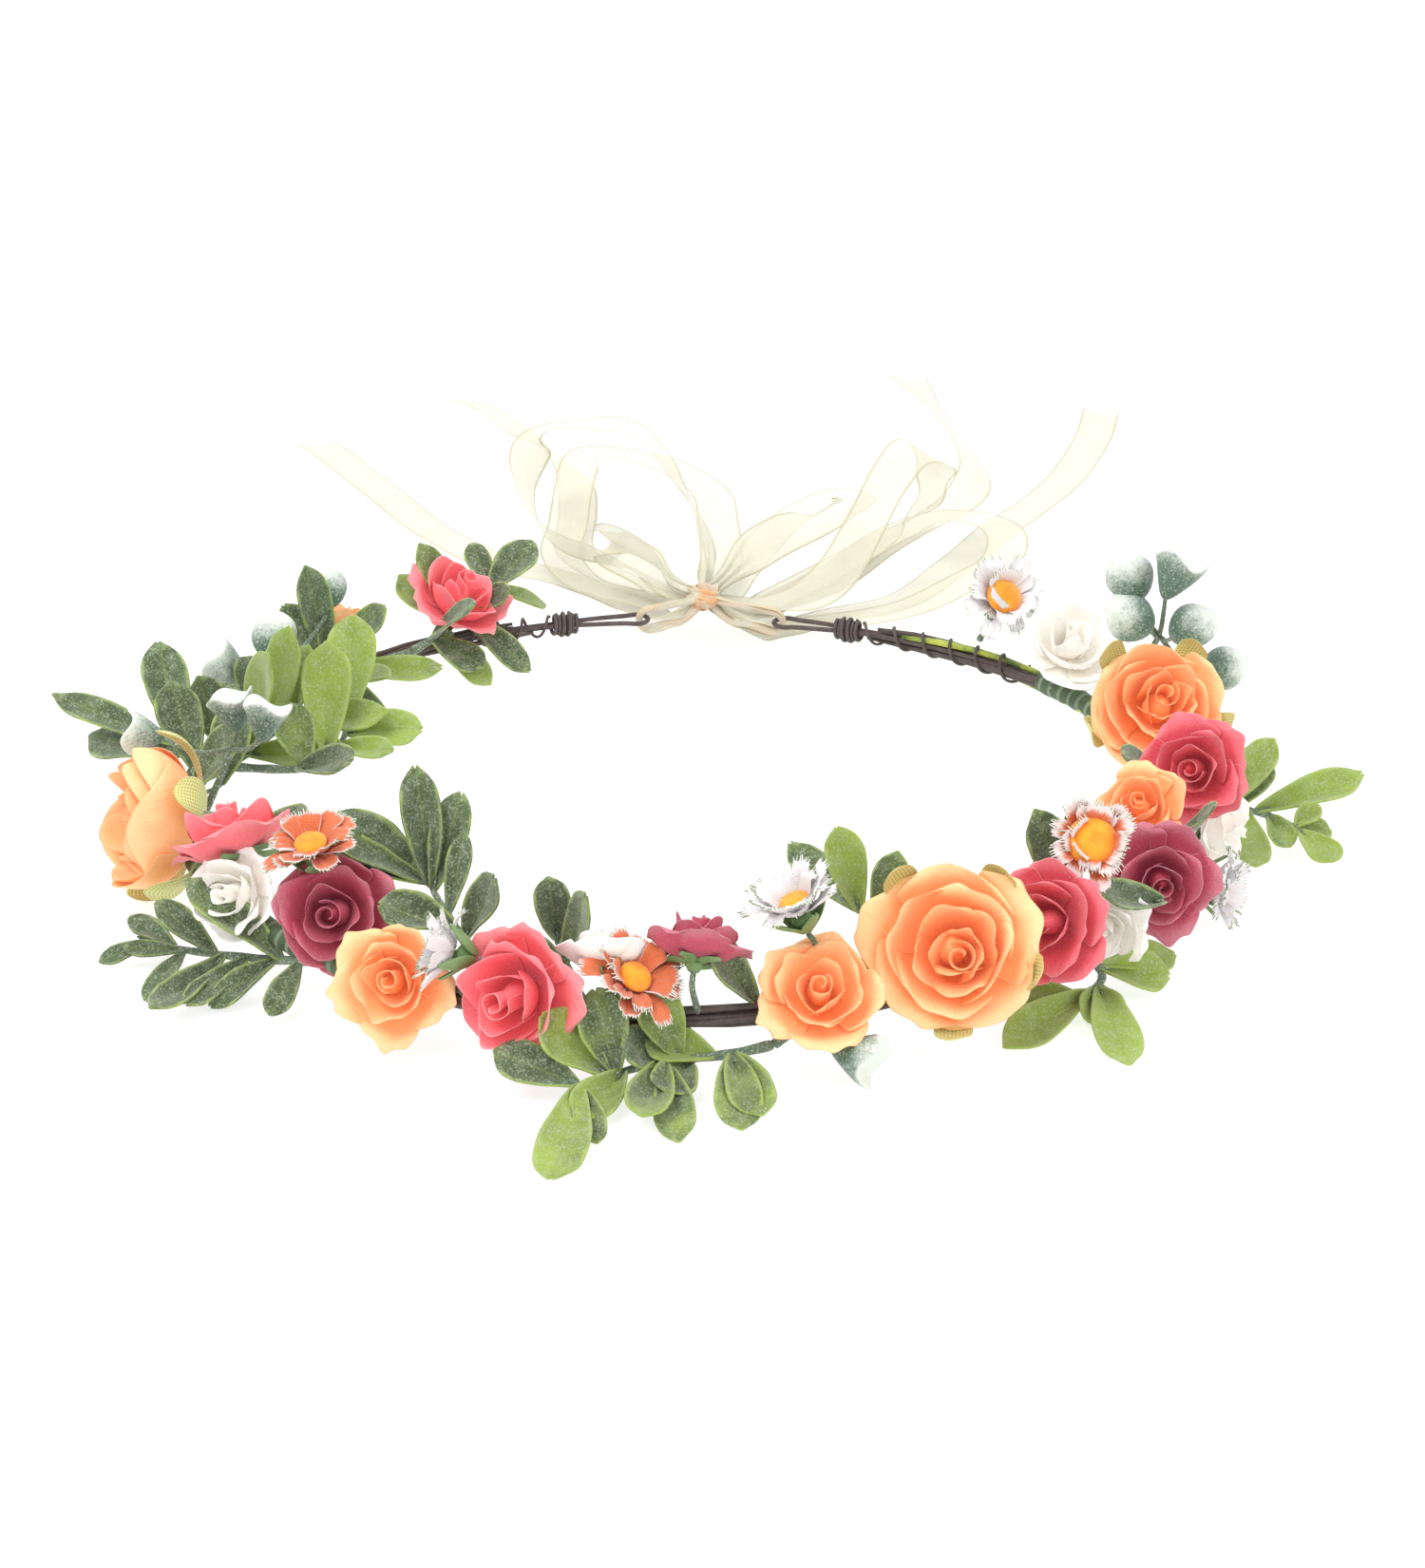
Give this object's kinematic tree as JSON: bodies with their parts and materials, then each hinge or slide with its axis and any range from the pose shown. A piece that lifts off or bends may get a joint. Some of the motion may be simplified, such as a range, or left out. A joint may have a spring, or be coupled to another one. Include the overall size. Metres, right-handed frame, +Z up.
{
  "type": "flower crown",
  "caption": "Open wire hoop dressed with fabric and paper flowers, leaf sprigs and buds on bendable stems, closed at the back by a tied ribbon bow.",
  "frame": {"origin": "middle of the hoop, on the surface that the crown lies on", "axes": "+Z up through the head opening, +Y back towards the ribbon bow, +X to the right seen from the front"},
  "size_m": [0.2722, 0.4505, 0.0537],
  "materials": {
    "brown_wire": "brown paper-covered florist wire, matt",
    "floral_tape": "waxed green floral tape over the stems",
    "ivory_ribbon": "sheer ivory ribbon with a woven selvedge",
    "frosted_leaf": "flocked green leaf, pale edge, powdery frost",
    "bud": "white bud fading to frosted green at the stalk",
    "orange_cloth": "frayed orange cloth petals",
    "white_cloth": "frayed white cloth petals with a yellow middle",
    "orange_petal": "matt orange petals, paler at the rim",
    "coral_paper": "matt coral paper with fine creases",
    "burgundy_paper": "matt burgundy paper with fine creases",
    "white_foam": "soft white petals, matt"
  },
  "bodies": {
    "crown": {"big_orange_rose_front": "orange_petal", "big_orange_rose_left": "orange_petal", "big_orange_rose_right": "orange_petal", "binding_wire_left": "brown_wire", "binding_wire_right": "brown_wire", "bud_pick_back_left": "bud", "burgundy_rose_front": "burgundy_paper", "burgundy_rose_left": "burgundy_paper", "burgundy_rose_right": "burgundy_paper", "coral_rose_back": "coral_paper", "coral_rose_front": "coral_paper", "coral_rose_front_right": "coral_paper", "coral_rose_left": "coral_paper", "coral_rose_right": "coral_paper", "front_bud": "bud", "hoop_wire": "brown_wire", "leaf_sprig_back_left": "frosted_leaf", "leaf_sprig_far_left": "frosted_leaf", "leaf_sprig_front_inner": "frosted_leaf", "leaf_sprig_inner_left": "frosted_leaf", "leaf_sprig_left": "frosted_leaf", "leaf_sprig_left_back": "frosted_leaf", "leaf_sprig_lower_right": "frosted_leaf", "leaf_sprig_right_inner": "frosted_leaf", "orange_daisy_front": "orange_cloth", "orange_daisy_left": "orange_cloth", "orange_daisy_right": "orange_cloth", "small_orange_rose_back": "orange_petal", "small_orange_rose_front": "orange_petal", "small_orange_rose_left": "orange_petal", "small_orange_rose_right": "orange_petal", "stem_bundle": "floral_tape", "white_daisy_front": "white_cloth", "white_daisy_left": "white_cloth", "white_daisy_right": "white_cloth", "white_rose_back": "white_foam", "white_rose_front": "white_foam", "white_rose_front_right": "white_foam", "white_rose_left": "white_foam", "white_rose_right": "white_foam"},
    "front_sprig": {"leaf_sprig_front": "frosted_leaf"},
    "right_sprig": {"leaf_sprig_right": "frosted_leaf"},
    "lower_left_sprig": {"leaf_sprig_lower_left": "frosted_leaf"},
    "standing_daisy_stem": {"standing_daisy": "white_cloth"},
    "back_right_buds": {"bud_pick_back_right": "bud"},
    "left_buds": {"bud_pick_left": "bud"},
    "bow": {"ribbon_knot": "ivory_ribbon", "ribbon_link_left": "ivory_ribbon", "ribbon_link_right": "ivory_ribbon", "ribbon_loop_left_high": "ivory_ribbon", "ribbon_loop_left_low": "ivory_ribbon", "ribbon_loop_left_small": "ivory_ribbon", "ribbon_loop_right_high": "ivory_ribbon", "ribbon_loop_right_low": "ivory_ribbon", "ribbon_loop_right_near": "ivory_ribbon", "ribbon_tail_left_inner": "ivory_ribbon", "ribbon_tail_left_outer": "ivory_ribbon", "ribbon_tail_right_inner": "ivory_ribbon", "ribbon_tail_right_outer": "ivory_ribbon"}
  },
  "joints": [
    {"name": "front_sprig_bend", "type": "hinge", "parent": "crown", "child": "front_sprig", "pos_m": [0.018, -0.103, 0.007], "axis": [0, 0, 1], "range_deg": [0, 30]},
    {"name": "right_sprig_bend", "type": "hinge", "parent": "crown", "child": "right_sprig", "pos_m": [0.103, -0.005, 0.01], "axis": [0, 0, 1], "range_deg": [-4, 30]},
    {"name": "lower_left_sprig_bend", "type": "hinge", "parent": "crown", "child": "lower_left_sprig", "pos_m": [-0.068, -0.075, 0.01], "axis": [0, 0, 1], "range_deg": [0, 30]},
    {"name": "standing_daisy_bend", "type": "hinge", "parent": "crown", "child": "standing_daisy_stem", "pos_m": [0.066, 0.078, 0.014], "axis": [1, 0, 0], "range_deg": [-45, 30]},
    {"name": "back_right_buds_bend", "type": "hinge", "parent": "crown", "child": "back_right_buds", "pos_m": [0.09, 0.045, 0.013], "axis": [0, 1, 0], "range_deg": [-20, 30]},
    {"name": "left_buds_bend", "type": "hinge", "parent": "crown", "child": "left_buds", "pos_m": [-0.095, -0.02, 0.014], "axis": [0, 1, 0], "range_deg": [-12, 15]},
    {"name": "bow_swing", "type": "hinge", "parent": "crown", "child": "bow", "pos_m": [0.0065, 0.09875, 0.011], "axis": [0.9978, -0.0663, 0], "range_deg": [-45, 40]}
  ]
}
